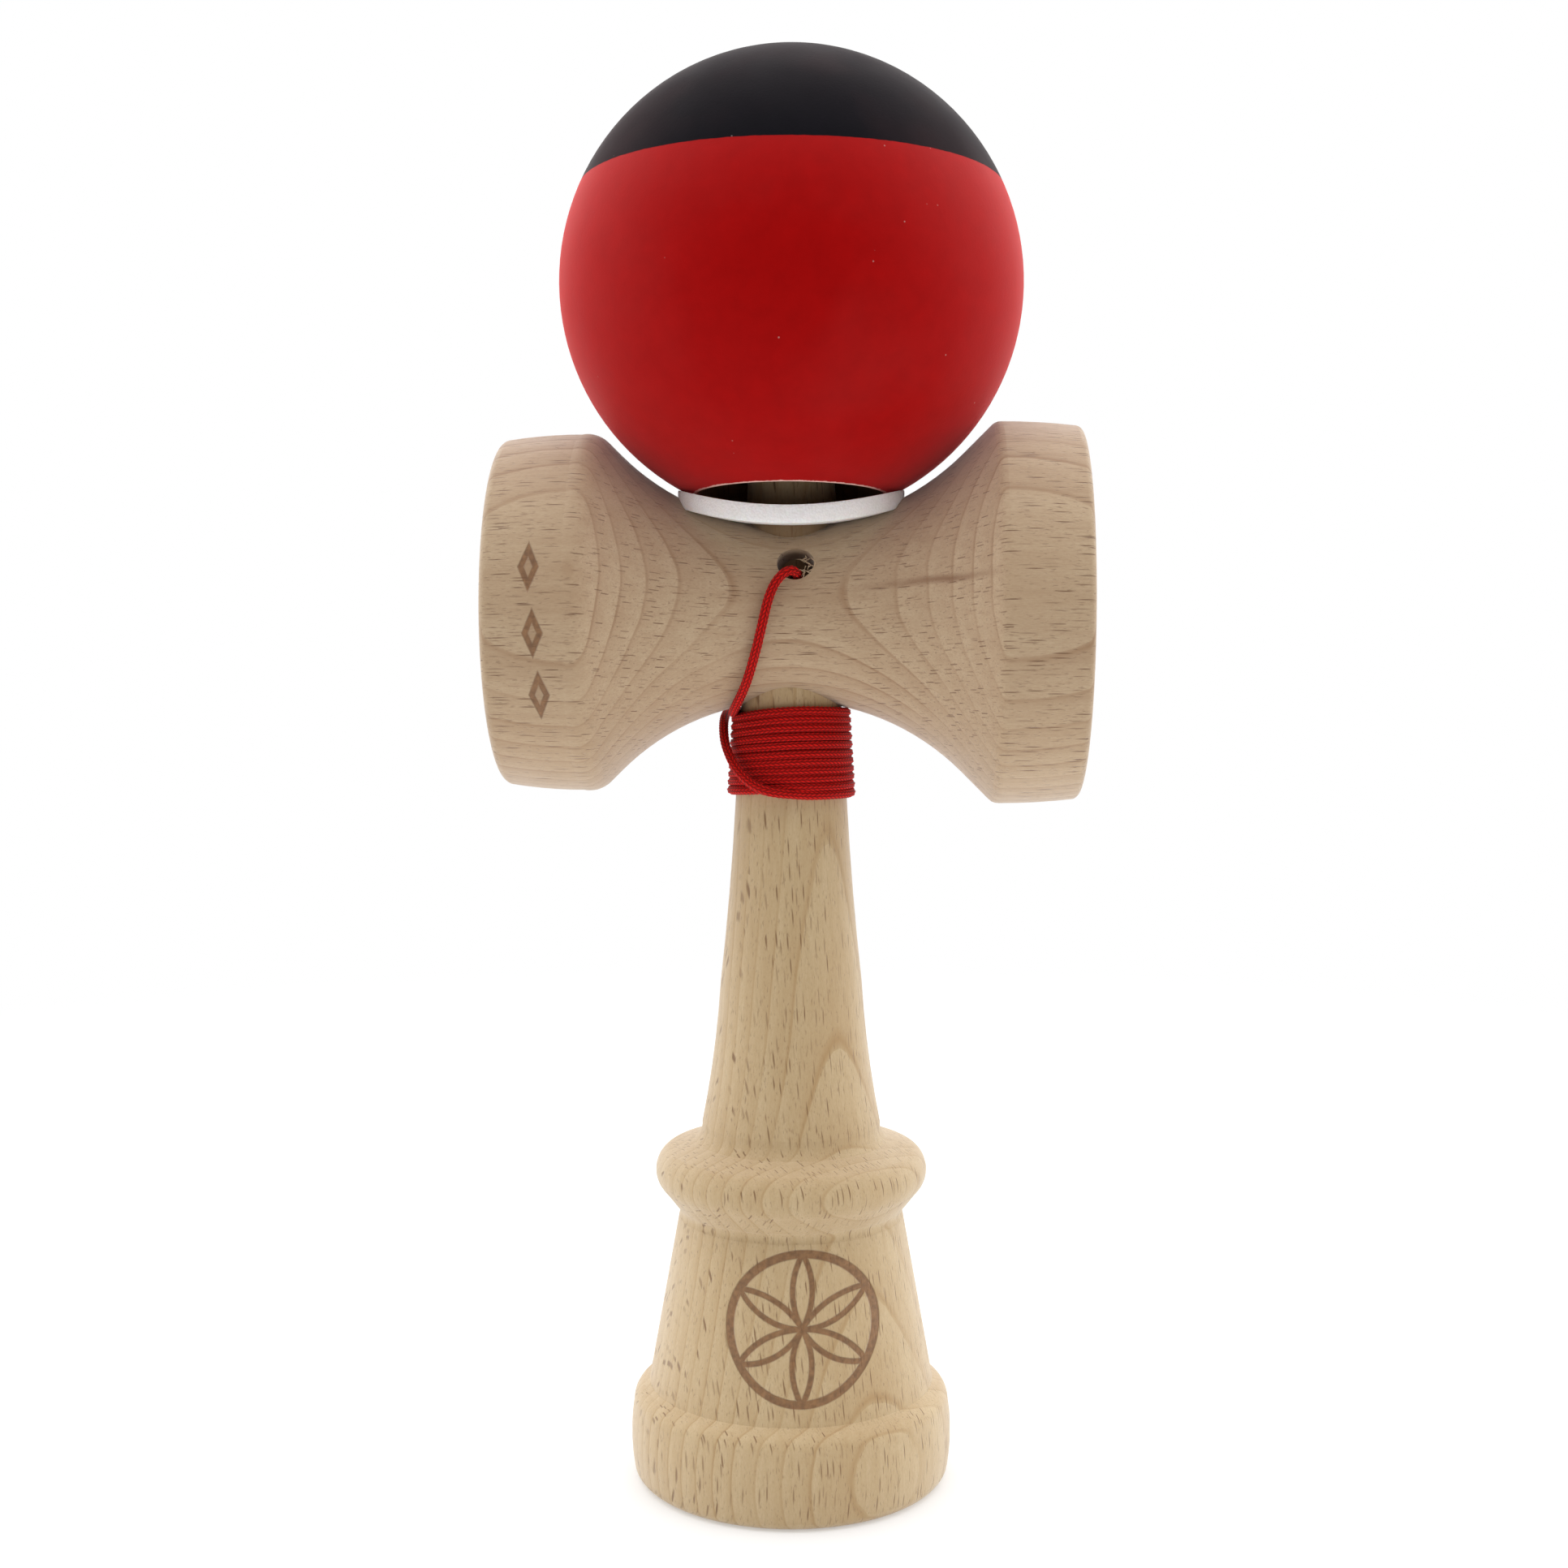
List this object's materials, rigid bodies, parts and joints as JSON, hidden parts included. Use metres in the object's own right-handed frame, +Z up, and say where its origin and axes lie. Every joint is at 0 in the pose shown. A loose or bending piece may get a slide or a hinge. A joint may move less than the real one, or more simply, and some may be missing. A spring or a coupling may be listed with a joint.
{
  "type": "kendama",
  "caption": "Wooden cup-and-ball skill toy standing on its base cup: turned handle, cross-cup, bored ball resting on the spike and a braided string wound round the handle.",
  "frame": {"origin": "centre of the base rim, on the surface that the kendama stands on", "axes": "+Z up along the ken, X along the cross-cup with the big cup at +X, -Y the side of the string hole"},
  "size_m": [0.075, 0.0623, 0.1899],
  "materials": {
    "ken_beech": "bare sanded beech, fleck grain along the handle",
    "cup_beech": "bare sanded beech, fleck grain along the cups, slightly pinker",
    "ball_paint": "beech ball under matte rubber-like paint, red with a blue-black cap",
    "bead_wood": "plain turned bead",
    "cord": "red braided polyester string",
    "foam": "white closed-cell foam sheet"
  },
  "bodies": {
    "ken": {"ken": "ken_beech", "sarado": "cup_beech", "foam_washer": "foam", "ken_end_knot": "cord", "cord_front_strand": "cord", "cord_winding": "cord", "cord_tail_strand": "cord"},
    "bead": {"string_bead": "bead_wood", "ball_end_knot": "cord", "cord_ball_strand": "cord"},
    "tama": {"tama": "ball_paint"}
  },
  "joints": [
    {"name": "ball_lift", "type": "slide", "parent": "ken", "child": "bead", "axis": [0, 0, 1], "range_m": [0, 0.048]},
    {"name": "ball_spin", "type": "hinge", "parent": "bead", "child": "tama", "pos_m": [0, 0, 0.1581], "axis": [0, 0.1045, 0.9945], "continuous": true}
  ]
}
